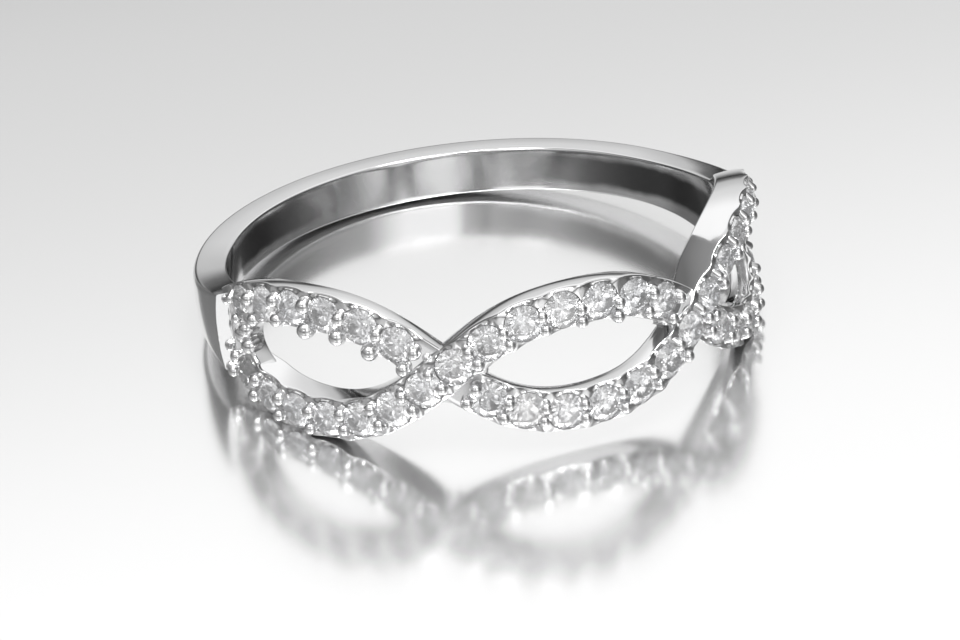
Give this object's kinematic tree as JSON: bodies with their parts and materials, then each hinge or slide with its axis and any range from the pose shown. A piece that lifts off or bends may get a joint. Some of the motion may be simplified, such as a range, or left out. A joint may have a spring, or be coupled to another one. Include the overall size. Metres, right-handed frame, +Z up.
{
  "type": "diamond wedding band",
  "caption": "Finger ring lying on its side: a plain polished shank that splits at the front into two interlaced strands, each set with one row of small round diamonds.",
  "frame": {"origin": "point on the resting plane under the centre of the ring, which lies on its side", "axes": "+Z up, away from the resting plane; -Y towards the middle of the jewelled front; +X to the right as seen from the front. The ring's own axis leans 6.96 degrees from +Z towards +Y, because the front loops are wider than the shank"},
  "size_m": [0.02, 0.0201, 0.0057],
  "materials": {
    "white_gold": "high polish, rhodium-bright white gold",
    "diamond": "faceted and polished"
  },
  "bodies": {
    "root": {"band": "white_gold", "diamonds_strand_a": "diamond", "diamonds_strand_b": "diamond"}
  },
  "joints": []
}
